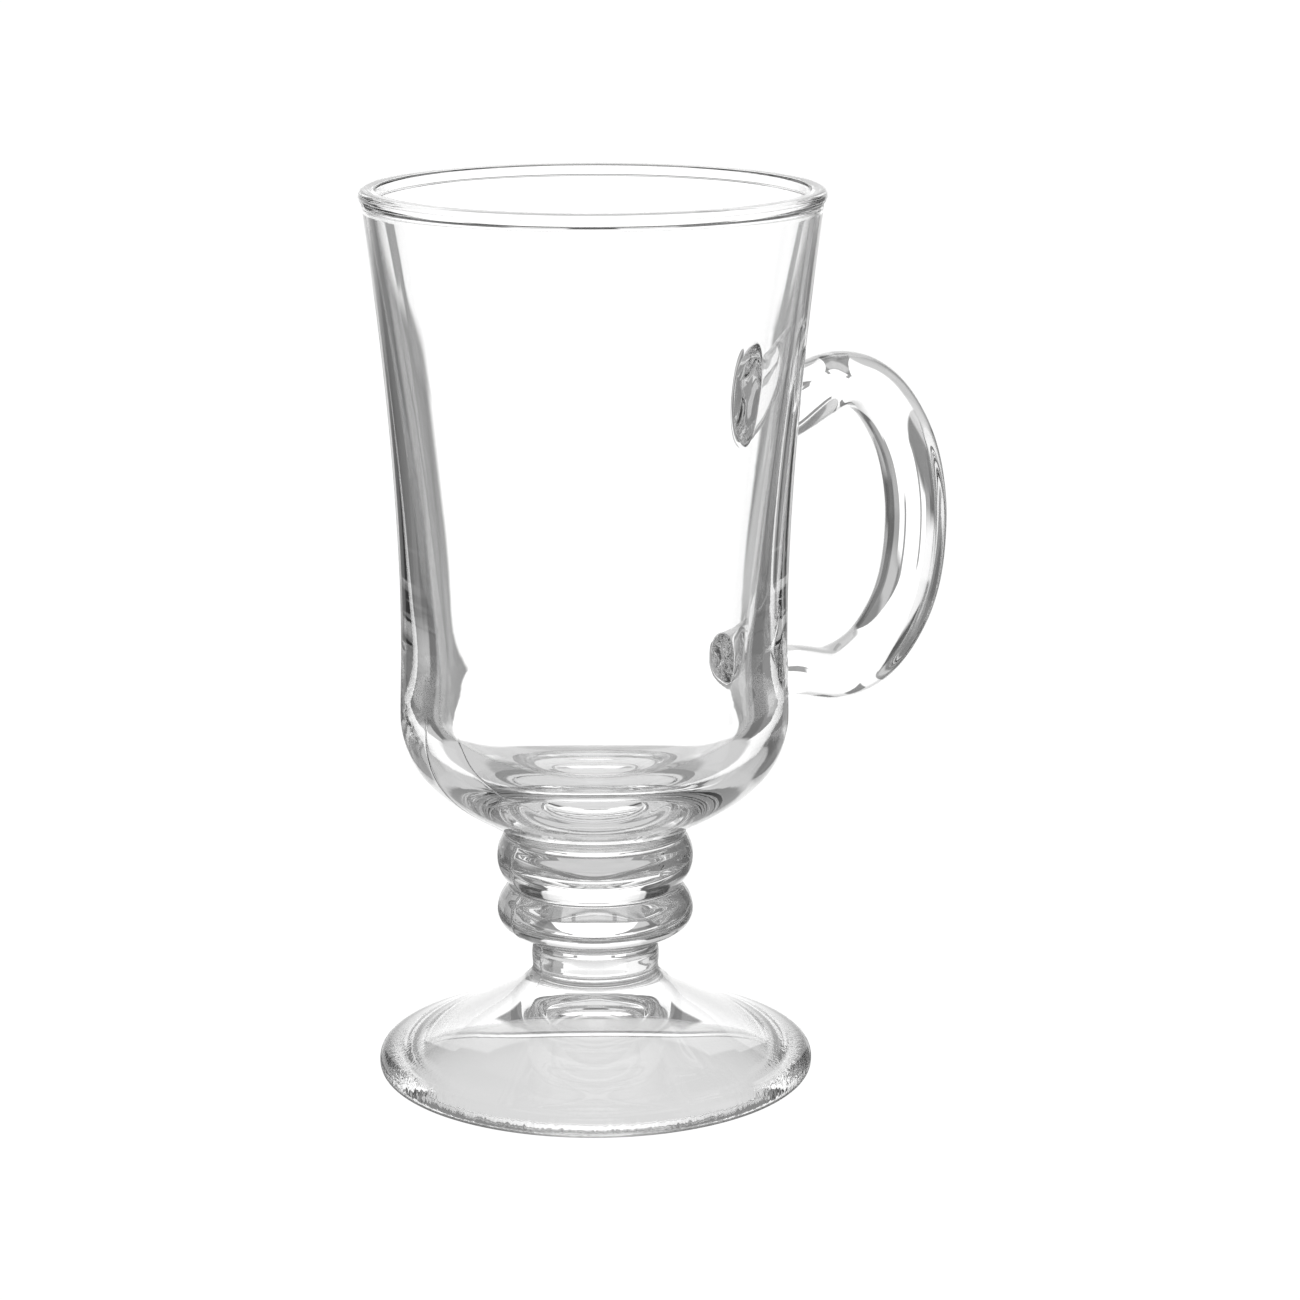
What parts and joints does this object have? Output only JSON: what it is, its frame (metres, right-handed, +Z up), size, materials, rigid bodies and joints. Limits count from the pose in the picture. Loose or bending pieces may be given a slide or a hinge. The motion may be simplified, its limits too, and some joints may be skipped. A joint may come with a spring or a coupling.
{
  "type": "footed coffee mug",
  "caption": "Clear pressed-glass coffee mug: flared round bowl on a stem with rounded knops, a bell foot hollow underneath, and a D-shaped side handle.",
  "frame": {"origin": "centre of the foot ring, on the table", "axes": "+Z up along the mug's axis, +X towards the handle"},
  "size_m": [0.1089, 0.076, 0.15],
  "materials": {
    "glass": "clear, fire polished, smooth"
  },
  "bodies": {
    "root": {"bowl": "glass", "upper_knop": "glass", "lower_knop": "glass", "stem": "glass", "foot": "glass", "handle": "glass"}
  },
  "joints": []
}
